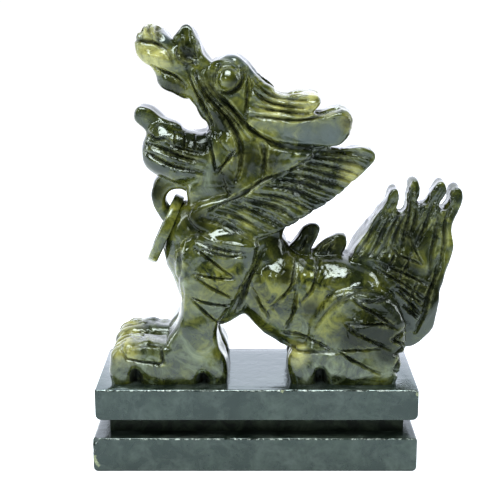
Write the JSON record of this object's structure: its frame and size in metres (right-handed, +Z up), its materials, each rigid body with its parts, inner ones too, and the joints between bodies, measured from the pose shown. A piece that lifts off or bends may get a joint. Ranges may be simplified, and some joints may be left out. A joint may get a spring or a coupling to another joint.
{
  "type": "carved stone qilin statuette",
  "caption": "Polished dark olive stone statuette of a seated qilin with open mouth, mane and upswept tail, on a two-tier base carved from the same block, with a loose ring under its chin.",
  "frame": {"origin": "centre of the base's underside", "axes": "+Z up, the qilin faces -X and its left flank faces -Y"},
  "size_m": [0.1512, 0.053, 0.1806],
  "materials": {
    "polished_stone": "waxed and polished dark olive green serpentine with paler clouds"
  },
  "bodies": {
    "root": {"qilin_on_base": "polished_stone", "mouth_ring": "polished_stone"}
  },
  "joints": []
}
